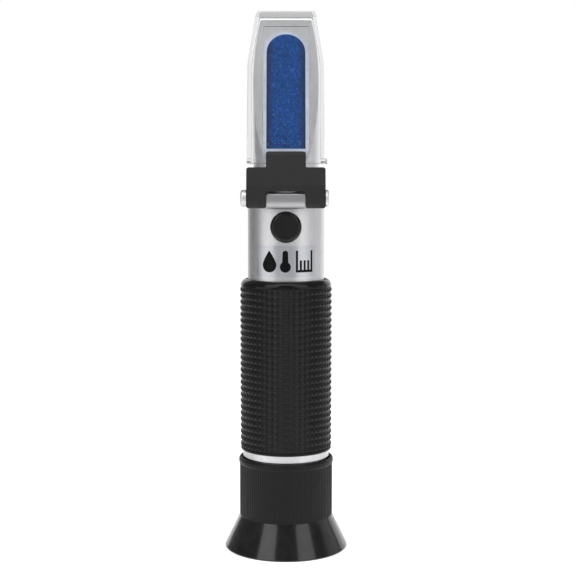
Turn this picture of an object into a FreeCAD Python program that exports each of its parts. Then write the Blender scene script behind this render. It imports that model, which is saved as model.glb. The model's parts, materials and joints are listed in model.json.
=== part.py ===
import FreeCAD, Part
import math
import os
from FreeCAD import Placement, Rotation, Vector

# Handheld refractometer, standing on its eyecup. Millimetres.
# +Z is the optical axis, from the eyecup up to the prism. The prism, the flap
# and the calibration screw face -Y. The origin is the centre of the eyecup's rim.

# ---- Driving sizes: lengths along the optical axis ----
cup_height = 10.9
focus_ring_length = 19.5
adapter_showing = 2.65
grip_length = 56.45
body_length = 30.5
head_length = 53.7
plane_above_shoulder = 33.0
plane_angle = 18.0

# ---- Driving sizes: diameters, and steps out from the body's radius ----
body_d = 25.0
grip_thickness = 2.55
adapter_step = 1.7
focus_ring_step = 2.85
focus_bead = 0.25
focus_bead_length = 2.6
grip_shoulder = 2.9
cup_flare = 5.0
lens_d = 17.2
lens_seat = 1.0

# ---- Walls and fits ----
shoulder_bevel = 1.9
tube_wall = 2.1
carrier_wall = 1.35
carrier_step = 0.4
head_wall = 1.6
ledge_width = 1.6
ledge_height = 7.1
light_well_inset = 1.3
tip_chamfer = 0.3
seal_groove_width = 1.2
cup_wall = 1.9
running_fit = 0.05
free_gap = 0.3
thread_depth = 0.9
spigot_length = 6.0
focus_counterbore = 2.2
flange_above_ring = 0.4

# ---- Flap ----
flap_wall = 1.3
flap_side_gap = 0.6
plate_gap = 0.25
plate_thickness = 1.85
plate_side_depth = 6.0
plate_end_wall = 1.3
plate_bottom_above_shoulder = 6.9
plate_taper_length = 17.8
tip_side_gap = 0.778
plate_taper_blend = 16.0
plate_end_angle = 17.8
pad_thickness = 0.35
pad_beside_prism = 1.2
pad_above_prism = 2.6
pad_inset_below = 1.5
lip_height = 1.7
lip_proud = 0.8
lip_side = 0.65

# ---- Hinge ----
hinge_below_shoulder = 3.9
hinge_out = 1.8
pin_d = 2.0
pin_head_d = 5.4
pin_head_thickness = 1.75
pin_collar_thickness = 0.95
pin_end_play = 0.1
lug_width = 12.2
lug_side_gap = 0.15
lug_front = 2.3
lug_top = 1.25
lug_top_bow = 0.3
lug_bottom_bow = 0.4
lug_bottom_round = 3.0
lug_below = 3.2
ear_r = 3.15
bracket_front = 2.5
bracket_back_gap = 0.4
bracket_height = 9.8
notch_height = 2.3
tab_height = 5.0
tab_width = 12.6
tab_bevel = 1.1
tab_bevel_depth = 0.8
corner_r = 0.8

# ---- Prism ----
prism_width = 12.6
prism_top_below_tip = 4.8
prism_bottom_above_shoulder = 11.6
prism_thickness = 5.0
seal_width = 1.0
seal_thickness = 1.2

# ---- Calibration screw and objective ----
cap_d = 10.0
cap_above_grip = 17.4
cap_proud = 1.0
cap_seat_depth = 1.1
cap_stem_r = 3.6
cap_stem_length = 1.2
cap_stem_wall = 1.0
cap_rim = 0.8
cap_skin = 1.0
screw_head_r = 2.2
screw_head_thickness = 0.9
screw_r = 1.2
screw_slot = 0.5
small_screw_r = 0.8
small_screw_head_r = 1.4
clamp_thickness = 2.0
strip_thickness = 0.5
cell_travel = 0.3
cell_r = 8.2
cell_height = 7.0
leaf_thickness = 0.2
objective_d = 12.5
objective_edge = 1.8

# ---- Label ----
label_thickness = 0.12
label_height = 10.0
label_half_angle = 49.0
label_above_grip = 1.4
label_corner = 0.7

# ---- Heights ----
z_focus = cup_height
z_focus_top = z_focus + focus_ring_length
z_grip = z_focus_top + adapter_showing
z_body = z_grip + grip_length
z_shoulder = z_body + body_length
z_tip = z_shoulder + head_length
z_plane = z_shoulder + plane_above_shoulder
z_hinge = z_shoulder - hinge_below_shoulder
z_cap = z_body + cap_above_grip
z_tube_top = z_body - 3.5
z_tube = z_grip + 1.7
z_spigot = z_tube_top - spigot_length
z_socket = z_tube - spigot_length

# ---- Radii and depths ----
body_r = body_d / 2
head_r = body_r - shoulder_bevel
tube_bore_r = body_r - tube_wall
carrier_bore_r = tube_bore_r - carrier_step
carrier_r = carrier_bore_r - running_fit
lens_r = lens_d / 2
slope = math.tan(math.radians(plane_angle))
lean = math.cos(math.radians(plane_angle))
y_hinge = -(body_r + hinge_out)
z_floor = z_hinge + notch_height + 0.15
adapter_r = body_r + adapter_step
focus_r = body_r + focus_ring_step
grip_r = body_r + grip_thickness
skirt_r = adapter_r - 0.95
beyond = 5.0  # how far a cutter reaches past what it cuts
nodes = {}


def wire(corners, place):
    """Closed outline through (a, b, corner radius) corners, put in space by place."""
    edges = []
    starts = []
    ends = []
    mids = []
    for i, (a, b, r) in enumerate(corners):
        here = Vector(a, b, 0)
        before = Vector(*corners[i - 1][:2], 0) - here
        after = Vector(*corners[(i + 1) % len(corners)][:2], 0) - here
        half = before.getAngle(after) / 2
        reach = r / math.tan(half) if r else 0.0
        one = before.normalize()
        two = after.normalize()
        starts.append(here + one * reach)
        ends.append(here + two * reach)
        towards = one + two
        deep = r / math.sin(half) - r if r else 0.0
        mids.append(here + towards.normalize() * deep if r else None)
    for i in range(len(corners)):
        if mids[i]:
            points = [place(*p[:2]) for p in (starts[i], mids[i], ends[i])]
            edges.append(Part.Arc(*points).toShape())
        following = starts[(i + 1) % len(corners)]
        if (following - ends[i]).Length > 1e-6:
            edges.append(Part.LineSegment(place(*ends[i][:2]), place(*following[:2])).toShape())
    return Part.Wire(edges)


def round_off(corners):
    """Give each corner that has no radius a radius of zero."""
    return [tuple(c) if len(c) == 3 else (c[0], c[1], 0.0) for c in corners]


def side_plate(corners, x0, x1):
    """Profile in Y and Z, extruded from x0 to x1."""
    face = Part.Face(wire(round_off(corners), lambda a, b: Vector(x0, a, b)))
    return face.extrude(Vector(x1 - x0, 0, 0))


def front_plate(corners, y0, y1):
    """Profile in X and Z, extruded from y0 to y1."""
    face = Part.Face(wire(round_off(corners), lambda a, b: Vector(a, y0, b)))
    return face.extrude(Vector(0, y1 - y0, 0))


def turned(corners, base=Vector(0, 0, 0), axis=Vector(0, 0, 1)):
    """Profile of (radius, height) corners, turned about an axis through base."""
    face = Part.Face(wire(round_off(corners), lambda a, b: Vector(a, 0, b)))
    solid = face.revolve(Vector(0, 0, 0), Vector(0, 0, 1), 360)
    solid.Placement = Placement(base, Rotation(Vector(0, 0, 1), axis))
    return solid


def ring(outer, inner, low, high, chamfer=0.0):
    """Plain ring or tube about the optical axis, with its outer edges chamfered."""
    if not chamfer:
        return turned([(inner, low), (outer, low), (outer, high), (inner, high)])
    return turned([
        (inner, low),
        (outer - chamfer, low),
        (outer, low + chamfer),
        (outer, high - chamfer),
        (outer - chamfer, high),
        (inner, high),
    ])


def rod(radius, start, axis, length):
    return Part.makeCylinder(radius, length, start, axis)


def block(x0, x1, y0, y1, z0, z1):
    return Part.makeBox(x1 - x0, y1 - y0, z1 - z0, Vector(x0, y0, z0))


def lens(radius, low, edge, bulge_low, bulge_high):
    """Lens about the optical axis, with a flat seat round each curved face."""
    clear_r = radius - lens_seat - running_fit

    def curved_face(height, bulge, sign):
        sphere = (clear_r * clear_r + bulge * bulge) / (2 * bulge)
        drop = sphere - math.sqrt(sphere * sphere - clear_r * clear_r / 4)
        middle = Vector(clear_r / 2, 0, height + sign * (bulge - drop))
        crown = Vector(0, 0, height + sign * bulge)
        return Part.Arc(crown, middle, Vector(clear_r, 0, height)).toShape(), crown

    high = low + edge
    lower, bottom = curved_face(low, bulge_low, -1)
    upper, top = curved_face(high, bulge_high, 1)
    corners = [(clear_r, low), (radius, low), (radius, high), (clear_r, high)]
    outline = [Vector(r, 0, z) for r, z in corners]
    rim = [Part.LineSegment(outline[i], outline[i + 1]).toShape() for i in range(3)]
    axis = Part.LineSegment(top, bottom).toShape()
    face = Part.Face(Part.Wire(Part.__sortEdges__([lower, *rim, upper, axis])))
    return face.revolve(Vector(0, 0, 0), Vector(0, 0, 1), 360)


def o_ring(radius, section, height):
    return Part.makeTorus(radius, section, Vector(0, 0, height), Vector(0, 0, 1))


def on_slope(shape):
    """Move a shape from the measuring plane's own frame to its place on the head."""
    shape = shape.copy()
    shape.Placement = Placement(Vector(0, 0, z_plane), Rotation(Vector(1, 0, 0), 90 - plane_angle))
    return shape


def along_slope(z):
    """Distance up the measuring plane at which it reaches a height."""
    return (z - z_plane) / lean


def arch(half_width, low, high, deep, near):
    """Round-topped slab on the measuring plane, from depth deep up to near."""
    spring = high - half_width
    edges = [
        Part.LineSegment(Vector(-half_width, low, deep), Vector(half_width, low, deep)).toShape(),
        Part.LineSegment(Vector(half_width, low, deep), Vector(half_width, spring, deep)).toShape(),
        Part.Arc(
            Vector(half_width, spring, deep),
            Vector(0, high, deep),
            Vector(-half_width, spring, deep),
        ).toShape(),
        Part.LineSegment(Vector(-half_width, spring, deep), Vector(-half_width, low, deep)).toShape(),
    ]
    return Part.Face(Part.Wire(edges)).extrude(Vector(0, 0, near - deep))


# ---- Prism, its seal and the head's casting ----
prism_low = along_slope(z_shoulder + prism_bottom_above_shoulder)
prism_high = along_slope(z_tip - prism_top_below_tip)
prism_half = prism_width / 2
seal_low = prism_low - seal_width
seal_high = prism_high + seal_width
seal_half = prism_half + seal_width
prism_body = arch(prism_half, prism_low, prism_high, -prism_thickness, 0)
nodes["main_prism"] = on_slope(prism_body)
seal_slab = arch(seal_half, seal_low, seal_high, -seal_thickness, 0)
nodes["prism_seal"] = on_slope(seal_slab.cut(prism_body))

bore_r = head_r - head_wall
ledge_r = bore_r - ledge_width
z_ledge = z_cap - cell_height / 2 - free_gap
groove_low = z_tube_top - 2.6
groove_high = groove_low + seal_groove_width
groove_r = tube_bore_r - 0.3
spigot_r = tube_bore_r + thread_depth - 0.1
casting = turned([
    (0, z_spigot),
    (spigot_r, z_spigot),
    (spigot_r, groove_low),
    (groove_r, groove_low),
    (groove_r, groove_high),
    (spigot_r, groove_high),
    (spigot_r, z_tube_top),
    (body_r, z_tube_top),
    (body_r, z_shoulder, 0.3),
    (head_r, z_shoulder + shoulder_bevel, 0.3),
    (head_r, z_tip - tip_chamfer),
    (head_r - tip_chamfer, z_tip),
    (0, z_tip),
])
plane_low_y = (z_floor - z_plane) * slope
plane_high_z = z_tip + beyond
casting = casting.cut(side_plate(
    [
        (-body_r - beyond, z_floor),
        (plane_low_y, z_floor),
        ((plane_high_z - z_plane) * slope, plane_high_z),
        (-body_r - beyond, plane_high_z),
    ],
    -body_r - beyond,
    body_r + beyond,
))
lug_half = lug_width / 2
y_lug_root = -body_r + 3
y_lug_front = y_hinge - lug_front
z_lug_low = z_hinge - lug_below
z_lug_high = z_hinge + lug_top
lug_side = side_plate(
    [
        (y_lug_root, z_lug_low - lug_bottom_bow),
        (y_lug_front, z_lug_low - lug_bottom_bow, lug_bottom_round),
        (y_lug_front, z_lug_high + lug_top_bow, 0.6),
        (-body_r, z_lug_high + lug_top_bow),
        (-body_r + 0.8, z_floor),
        (y_lug_root, z_floor),
    ],
    -lug_half,
    lug_half,
)
lug_face = front_plate(
    [
        (-lug_half, z_lug_low, 0.5),
        (0, z_lug_low - lug_bottom_bow, 60),
        (lug_half, z_lug_low, 0.5),
        (lug_half, z_lug_high, 0.5),
        (0, z_lug_high + lug_top_bow, 100),
        (-lug_half, z_lug_high, 0.5),
    ],
    y_lug_front - beyond,
    -body_r,
)
lug_root = block(-lug_half, lug_half, -body_r, y_lug_root, z_lug_low, z_floor)
lug_face = lug_face.fuse(lug_root)
casting = casting.fuse(lug_side.common(lug_face))
casting = casting.cut(turned([
    (0, z_spigot - 1),
    (bore_r, z_spigot - 1),
    (bore_r, z_ledge - ledge_height),
    (ledge_r, z_ledge - ledge_height),
    (ledge_r, z_ledge),
    (bore_r, z_ledge),
    (bore_r, z_floor),
    (0, z_floor),
]))
well_half = prism_half - light_well_inset
casting = casting.cut(block(-well_half, well_half, -3.5, 4.5, z_floor - 1, z_plane - 3))
casting = casting.cut(on_slope(prism_body)).cut(on_slope(seal_slab))
across = Vector(1, 0, 0)
inwards = Vector(0, 1, 0)
casting = casting.cut(rod(pin_d / 2, Vector(-lug_width, y_hinge, z_hinge), across, 2 * lug_width))
cap_seat_y = -body_r + cap_seat_depth
stem_end_y = cap_seat_y + cap_stem_length
cap_seat = Vector(0, -body_r - 1, z_cap)
casting = casting.cut(rod(cap_d / 2 + running_fit, cap_seat, inwards, 1 + cap_seat_depth))
casting = casting.cut(rod(cap_stem_r, cap_seat, inwards, body_r))

# ---- Clamp under the prism, its screws and the temperature strip ----
clamp_high = z_floor
clamp_low = clamp_high - clamp_thickness
clamp_r = bore_r - running_fit
screw_x = clamp_r - 2.4
strip_screw_y = 4.2
clamp = ring(clamp_r, 0, clamp_low, clamp_high)
clamp = clamp.cut(block(-4, 4, -4.5, 2, clamp_low - 1, clamp_high + 1))
clamp_screws = []
upwards = Vector(0, 0, 1)
for x in (-screw_x, screw_x):
    thread = rod(small_screw_r, Vector(x, 0, clamp_low), upwards, 6)
    head = rod(small_screw_head_r, Vector(x, 0, clamp_low - 1), upwards, 1)
    clamp = clamp.cut(thread)
    casting = casting.cut(thread)
    clamp_screws.append(thread.fuse(head))
strip_top = clamp_low - strip_thickness
strip_thread = rod(small_screw_r, Vector(0, strip_screw_y, strip_top), upwards, 2)
strip_low = z_cap + cell_height / 2 + 2.2
strip_back = strip_screw_y + 2.9
strip = block(-2, 2, strip_screw_y - 2, strip_back, strip_top, clamp_low)
strip = strip.fuse(block(-2, 2, strip_back - strip_thickness, strip_back, strip_low, clamp_low))
nodes["prism_clamp"] = clamp.cut(strip_thread)
nodes["prism_clamp_screws"] = Part.makeCompound(clamp_screws)
nodes["atc_strip"] = strip.cut(strip_thread)
strip_head = rod(small_screw_head_r - 0.1, Vector(0, strip_screw_y, strip_top - 0.8), upwards, 0.8)
nodes["atc_screw"] = strip_thread.fuse(strip_head)

# ---- Objective cell, moved along Y by the calibration screw ----
cell_low = z_cap - cell_height / 2
cell_high = cell_low + cell_height
objective_r = objective_d / 2
objective_low = z_cap - 0.4
nodes["objective_cell"] = turned([
    (objective_r - lens_seat, cell_low),
    (cell_r, cell_low),
    (cell_r, cell_high),
    (objective_r, cell_high),
    (objective_r, objective_low),
    (objective_r - lens_seat, objective_low),
])
nodes["objective_lens"] = lens(objective_r, objective_low, objective_edge, 0.4, 0.9)
retainer_low = objective_low + objective_edge
nodes["objective_retainer"] = ring(objective_r, objective_r - 0.8, retainer_low, cell_high - 0.2)
guide_low = cell_high + free_gap
nodes["cell_guide_ring"] = ring(bore_r, ledge_r, guide_low, guide_low + 1.4)

leaf_half = 4.0
leaf = ring(bore_r, bore_r - leaf_thickness, z_cap - 2.5, z_cap + 2.5)
nodes["cell_spring"] = leaf.common(block(-leaf_half, leaf_half, 0, body_r, z_cap - 4, z_cap + 4))

bush_inner_y = -cell_r - cell_travel - 0.15
bush = rod(cap_stem_r, Vector(0, stem_end_y, z_cap), inwards, bush_inner_y - stem_end_y)
screw_hole = rod(screw_r + running_fit, Vector(0, stem_end_y - 1, z_cap), inwards, body_r)
nodes["calibration_bush"] = bush.cut(screw_hole)
nodes["prism_head"] = casting

screw_head_y = stem_end_y - cell_travel - 0.1 - screw_head_thickness
screw_start = Vector(0, screw_head_y, z_cap)
screw = rod(screw_head_r, screw_start, inwards, screw_head_thickness)
screw = screw.fuse(rod(screw_r, screw_start, inwards, -cell_r - screw_head_y))
slot_low = z_cap - screw_slot / 2
slot = block(-3, 3, screw_head_y - 1, screw_head_y + screw_slot, slot_low, slot_low + screw_slot)
nodes["calibration_screw"] = screw.cut(slot)

# ---- Rubber plug over the calibration screw ----
cap_face_y = -body_r - cap_proud
cap_thickness = cap_seat_y - cap_face_y
cap_stem_end = cap_thickness + cap_stem_length - running_fit
nodes["calibration_cap"] = turned(
    [
        (0, 0),
        (cap_d / 2 - cap_rim, 0),
        (cap_d / 2, cap_rim),
        (cap_d / 2, cap_thickness),
        (cap_stem_r - running_fit, cap_thickness),
        (cap_stem_r - running_fit, cap_stem_end),
        (cap_stem_r - cap_stem_wall, cap_stem_end),
        (cap_stem_r - cap_stem_wall, cap_skin),
        (0, cap_skin),
    ],
    Vector(0, cap_face_y, z_cap),
    inwards,
)

# ---- Label ----
label_low = z_body + label_above_grip
label_high = label_low + label_height
label = ring(body_r + label_thickness, body_r, label_low, label_high)
label_half = body_r * math.sin(math.radians(label_half_angle))
nodes["body_label"] = label.common(front_plate(
    [
        (-label_half, label_low, label_corner),
        (label_half, label_low, label_corner),
        (label_half, label_high, label_corner),
        (-label_half, label_high, label_corner),
    ],
    -body_r - 1,
    0,
))

# ---- Flap: clear plate with side walls and an end wall ----
flap_half = head_r + flap_side_gap + flap_wall
cavity_half = flap_half - flap_wall
plate_inner = plate_gap + pad_thickness
z_plate = z_shoulder + plate_bottom_above_shoulder


def plate_line(z, depth):
    """Y of a plane parallel to the measuring plane, depth in front of it, at height z."""
    return (z - z_plane) * slope - depth / lean


end_rise = math.tan(math.radians(plate_end_angle))
end_drop = plate_end_wall / math.cos(math.radians(plate_end_angle))
cavity_end_level = z_tip + free_gap - end_rise * (z_tip - z_plane) * slope


def end_corner(depth, drop):
    """Y and Z where the end wall's face, drop below its outer face, meets a plane at that depth."""
    level = cavity_end_level + end_drop - drop
    z = (level - end_rise * (z_plane * slope + depth / lean)) / (1 - end_rise * slope)
    return plate_line(z, depth), z


front_depth = plate_inner + plate_thickness
z_plate_end = end_corner(-plate_side_depth, 0)[1]
z_taper = z_plate_end - plate_taper_length
tip_half = math.sqrt(head_r**2 - ((z_tip - z_plane) * slope) ** 2)
tip_taper = cavity_half - tip_half - tip_side_gap
plate_taper = tip_taper * plate_taper_length / (z_tip - z_taper)
plate_outer = side_plate(
    [
        (plate_line(z_plate, front_depth), z_plate),
        (*end_corner(front_depth, 0), 0.25),
        end_corner(-plate_side_depth, 0),
        (plate_line(z_plate, -plate_side_depth), z_plate),
    ],
    -flap_half - 1,
    flap_half + 1,
)
plate_front_view = front_plate(
    [
        (-flap_half, z_plate),
        (flap_half, z_plate),
        (flap_half, z_taper, plate_taper_blend),
        (flap_half - plate_taper, z_plate_end),
        (-flap_half + plate_taper, z_plate_end),
        (-flap_half, z_taper, plate_taper_blend),
    ],
    -body_d,
    body_d,
)
cavity_side = side_plate(
    [
        (plate_line(z_plate - 2, plate_inner), z_plate - 2),
        end_corner(plate_inner, end_drop),
        end_corner(-plate_side_depth - 1, end_drop),
        (plate_line(z_plate - 2, -plate_side_depth - 1), z_plate - 2),
    ],
    -flap_half - 1,
    flap_half + 1,
)
cavity_front_view = front_plate(
    [
        (-cavity_half, z_plate - 3),
        (cavity_half, z_plate - 3),
        (cavity_half, z_taper, plate_taper_blend),
        (cavity_half - plate_taper, z_plate_end),
        (-cavity_half + plate_taper, z_plate_end),
        (-cavity_half, z_taper, plate_taper_blend),
    ],
    -body_d,
    body_d,
)
cover = plate_outer.common(plate_front_view)
z_lip_top = z_plate + lip_height
lip = side_plate(
    [
        (plate_line(z_plate, front_depth + lip_proud), z_plate, 0.2),
        (plate_line(z_lip_top, front_depth + lip_proud), z_lip_top, 0.2),
        (plate_line(z_lip_top, plate_inner), z_lip_top),
        (plate_line(z_plate, plate_inner), z_plate),
    ],
    -flap_half,
    flap_half + lip_side,
)
tab_half = tab_width / 2
z_below_lip = z_plate - beyond
z_above_lip = z_lip_top + beyond
lip_gap = side_plate(
    [
        (plate_line(z_below_lip, front_depth), z_below_lip),
        (plate_line(z_below_lip, front_depth + beyond), z_below_lip),
        (plate_line(z_above_lip, front_depth + beyond), z_above_lip),
        (plate_line(z_above_lip, front_depth), z_above_lip),
    ],
    -tab_half,
    tab_half,
)
cover = cover.fuse(lip.cut(lip_gap))
cover = cover.cut(cavity_side.common(cavity_front_view))
pad_half = prism_half + pad_beside_prism
pad = block(
    -pad_half,
    pad_half,
    prism_low + pad_inset_below,
    prism_high + pad_above_prism,
    plate_gap,
    plate_inner + 0.1,
)
nodes["cover_plate"] = cover.fuse(on_slope(pad))

# ---- Hinge bracket: ears on the pin, and a tab bonded on the plate ----
z_bracket_top = z_hinge + bracket_height
z_tab_top = z_bracket_top + tab_height
y_front = y_hinge - bracket_front
y_back = -body_r - bracket_back_gap
z_lean = z_hinge + 4.0
z_tab_bevel = z_tab_top - tab_bevel
y_tab_bevel = y_front + (z_tab_bevel - z_lean) * slope
bracket_side = side_plate(
    [
        (y_front, z_hinge - ear_r, 2.2),
        (y_front, z_lean, 3),
        (y_tab_bevel, z_tab_bevel, 0.4),
        (y_tab_bevel + tab_bevel_depth, z_tab_top, 0.3),
        (plate_line(z_tab_top, front_depth), z_tab_top),
        (plate_line(z_bracket_top - 1, front_depth), z_bracket_top - 1),
        (y_back, z_bracket_top - 3.5, 0.5),
        (y_back, z_hinge + 3.2),
        (y_hinge + ear_r, z_hinge, 0.4),
        (y_hinge + ear_r, z_hinge - ear_r, ear_r - 0.15),
    ],
    -flap_half,
    flap_half,
)
notch_half = lug_half + lug_side_gap
notch_r = bracket_front + 0.9
bracket_front_view = front_plate(
    [
        (-flap_half, z_hinge - ear_r, corner_r),
        (-notch_half, z_hinge - ear_r, corner_r),
        (-notch_half, z_hinge + notch_height),
        (notch_half, z_hinge + notch_height),
        (notch_half, z_hinge - ear_r, corner_r),
        (flap_half, z_hinge - ear_r, corner_r),
        (flap_half, z_bracket_top, corner_r),
        (tab_half, z_bracket_top, 0.3),
        (tab_half, z_tab_top, corner_r),
        (-tab_half, z_tab_top, corner_r),
        (-tab_half, z_bracket_top, 0.3),
        (-flap_half, z_bracket_top, corner_r),
    ],
    -body_d,
    0,
)
bracket = bracket_side.common(bracket_front_view)
bracket = bracket.cut(rod(notch_r, Vector(-notch_half, y_hinge, z_hinge), across, 2 * notch_half))
pin_hole_r = pin_d / 2 + running_fit
bracket = bracket.cut(rod(pin_hole_r, Vector(-body_d, y_hinge, z_hinge), across, 2 * body_d))
bracket = bracket.cut(ring(body_r + bracket_back_gap, 0, z_hinge - bracket_height, z_bracket_top))
nodes["hinge_bracket"] = bracket

pin_start = Vector(-flap_half - pin_end_play - pin_head_thickness, y_hinge, z_hinge)
pin_end = 2 * (flap_half + pin_end_play) + pin_head_thickness + pin_collar_thickness
nodes["hinge_pin"] = turned(
    [
        (0, 0),
        (pin_head_d / 2, 0, 0.7),
        (pin_head_d / 2, pin_head_thickness),
        (pin_d / 2, pin_head_thickness),
        (pin_d / 2, pin_end - 0.2),
        (0, pin_end - 0.2),
    ],
    pin_start,
    across,
)
nodes["hinge_pin_collar"] = turned(
    [
        (pin_d / 2, 0),
        (pin_head_d / 2, 0),
        (pin_head_d / 2, pin_collar_thickness, 0.5),
        (pin_d / 2, pin_collar_thickness),
    ],
    Vector(flap_half + pin_end_play, y_hinge, z_hinge),
    across,
)

# ---- Main tube, grip and adapter ring ----
z_reticle = z_tube + 26
socket_r = tube_bore_r + 1.2
tube = turned([
    (tube_bore_r, z_socket),
    (socket_r, z_socket),
    (socket_r, z_tube),
    (body_r, z_tube),
    (body_r, z_tube_top),
    (spigot_r, z_tube_top),
    (spigot_r, z_spigot),
    (tube_bore_r, z_spigot),
])
z_guide = z_tube + 4.0
guide_r = 1.5
guide_tip_r = 1.0
nodes["main_tube"] = tube.cut(rod(guide_r, Vector(0, -body_r - 1, z_guide), inwards, tube_wall + 2))
guide_sunk = 0.15
guide_start = Vector(0, guide_sunk - body_r, z_guide)
guide_reach = tube_wall + carrier_wall + carrier_step - guide_sunk
guide = rod(guide_r, guide_start, inwards, tube_wall - guide_sunk)
guide = guide.fuse(rod(guide_tip_r, guide_start, inwards, guide_reach))
guide_slot_low = z_guide - screw_slot / 2
guide_slot_y = guide_sunk - body_r + screw_slot
guide_slit = block(-2, 2, -body_r - 1, guide_slot_y, guide_slot_low, guide_slot_low + screw_slot)
nodes["guide_screw"] = guide.cut(guide_slit)

nodes["field_baffle"] = ring(tube_bore_r, tube_bore_r - 2.9, z_reticle - 2, z_reticle)
nodes["reticle"] = ring(tube_bore_r - running_fit, 0, z_reticle, z_reticle + 1.5)
nodes["reticle_retainer"] = ring(tube_bore_r, tube_bore_r - 1.6, z_reticle + 1.5, z_reticle + 3.5)
nodes["tube_seal"] = o_ring((groove_r + spigot_r) / 2, 0.5, (groove_low + groove_high) / 2)

nodes["grip_sleeve"] = turned([
    (adapter_r, z_grip),
    (grip_r, z_grip, 0.3),
    (grip_r, z_body - grip_shoulder, 0.6),
    (grip_r - 0.9, z_body - 0.5, 1.0),
    (body_r, z_body),
    (body_r, z_tube),
    (adapter_r, z_tube),
])

z_skirt = z_focus + 8.6
z_flange = z_focus_top + flange_above_ring
seal_groove_low = z_skirt + 4.5
seal_groove_high = seal_groove_low + seal_groove_width
nodes["adapter_ring"] = turned([
    (carrier_bore_r, z_skirt),
    (skirt_r, z_skirt),
    (skirt_r, z_flange),
    (adapter_r, z_flange),
    (adapter_r, z_tube),
    (socket_r, z_tube),
    (socket_r, z_socket),
    (carrier_bore_r, z_socket),
    (carrier_bore_r, seal_groove_high),
    (carrier_bore_r + 0.8, seal_groove_high),
    (carrier_bore_r + 0.8, seal_groove_low),
    (carrier_bore_r, seal_groove_low),
])
nodes["focus_seal"] = o_ring(carrier_bore_r + 0.42, 0.36, (seal_groove_low + seal_groove_high) / 2)

# ---- Eyepiece carrier with its two lenses ----
z_carrier = z_focus + 2.2
flange_thickness = 2.2
collar_r = focus_r - 2.6
carrier_flange_r = collar_r - free_gap
z_carrier_top = z_tube + 10
seat_z = z_carrier + 0.9
lens_edge = 1.6
carrier = turned([
    (lens_r - lens_seat, z_carrier),
    (carrier_flange_r, z_carrier),
    (carrier_flange_r, z_carrier + flange_thickness),
    (carrier_r, z_carrier + flange_thickness),
    (carrier_r, z_carrier_top),
    (lens_r, z_carrier_top),
    (lens_r, seat_z),
    (lens_r - lens_seat, seat_z),
])
slot_half = guide_tip_r + running_fit
guide_slot = block(-slot_half, slot_half, -carrier_r - 1, -lens_r + 1, z_guide - 2.8, z_guide + 3.7)
nodes["eyepiece_tube"] = carrier.cut(guide_slot)
nodes["eye_lens"] = lens(lens_r, seat_z, lens_edge, 0.8, 1.6)
spacer_low = seat_z + lens_edge
spacer_length = 10.0
nodes["lens_spacer"] = ring(lens_r, lens_r - lens_seat, spacer_low, spacer_low + spacer_length)
field_low = spacer_low + spacer_length
field_high = field_low + lens_edge
nodes["field_lens"] = lens(lens_r, field_low, lens_edge, 1.2, 0.8)
nodes["eye_retainer"] = ring(lens_r, lens_r - lens_seat, field_high, field_high + 1.8)

# ---- Focus ring and eyecup ----
bead_r = focus_r + focus_bead
web_low = z_carrier + flange_thickness + 0.1
web_high = web_low + 1.6
nodes["focus_ring"] = turned([
    (collar_r, z_focus),
    (focus_r, z_focus, 0.2),
    (focus_r, z_focus_top - focus_bead_length),
    (bead_r, z_focus_top - focus_bead_length + 0.8, 0.5),
    (bead_r, z_focus_top, 0.8),
    (adapter_r + free_gap, z_focus_top, 0.2),
    (adapter_r + free_gap, z_focus_top - focus_counterbore),
    (skirt_r + running_fit, z_focus_top - focus_counterbore),
    (skirt_r + running_fit, web_high),
    (carrier_r + free_gap, web_high),
    (carrier_r + free_gap, web_low),
    (collar_r, web_low),
])
rim_r = focus_r + cup_flare
throat_r = lens_r - 0.6
nodes["eyecup"] = turned([
    (rim_r - 2.0, 0, 0.3),
    (rim_r - 0.3, 0, 0.15),
    (rim_r, 0.45, 0.2),
    (rim_r - 0.25, 0.95, 0.4),
    (focus_r + 0.35, z_focus - 0.8, 0.8),
    (focus_r, z_focus),
    (collar_r, z_focus),
    (collar_r, z_carrier - 0.1),
    (throat_r, z_carrier - 0.1),
    (throat_r, z_focus - 1.2, 0.6),
    (focus_r - cup_wall - 0.4, z_focus - 1.6, 1.5),
])

os.makedirs("parts", exist_ok=True)
for name, shape in nodes.items():
    shape.exportStep("parts/" + name + ".step")
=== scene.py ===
import json
import math

import bmesh
import bpy
from bpy.props import FloatProperty, FloatVectorProperty, IntProperty, PointerProperty
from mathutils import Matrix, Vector


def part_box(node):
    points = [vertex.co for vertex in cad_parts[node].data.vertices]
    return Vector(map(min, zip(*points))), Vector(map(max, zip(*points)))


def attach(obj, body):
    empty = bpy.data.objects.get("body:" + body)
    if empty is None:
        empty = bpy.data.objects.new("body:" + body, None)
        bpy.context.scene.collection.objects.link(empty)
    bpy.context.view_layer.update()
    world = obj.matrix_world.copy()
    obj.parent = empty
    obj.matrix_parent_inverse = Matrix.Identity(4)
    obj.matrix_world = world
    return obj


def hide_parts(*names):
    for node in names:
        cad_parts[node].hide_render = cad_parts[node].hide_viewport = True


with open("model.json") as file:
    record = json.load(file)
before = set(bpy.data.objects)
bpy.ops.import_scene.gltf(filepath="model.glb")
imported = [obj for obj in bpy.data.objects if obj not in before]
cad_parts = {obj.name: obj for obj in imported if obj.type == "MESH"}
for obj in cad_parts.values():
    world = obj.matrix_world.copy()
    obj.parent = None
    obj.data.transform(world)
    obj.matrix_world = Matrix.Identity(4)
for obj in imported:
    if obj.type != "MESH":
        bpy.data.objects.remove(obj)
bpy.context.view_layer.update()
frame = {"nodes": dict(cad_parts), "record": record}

bl_info = {
    "name": "Handheld refractometer looks",
    "version": (1, 0, 0),
    "blender": (4, 5, 0),
    "location": "3D View > Sidebar > Refractometer",
    "description": "Builds the grip, focus ring, flap, plug, label and finishes of a handheld refractometer",
    "category": "Object",
}

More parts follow.
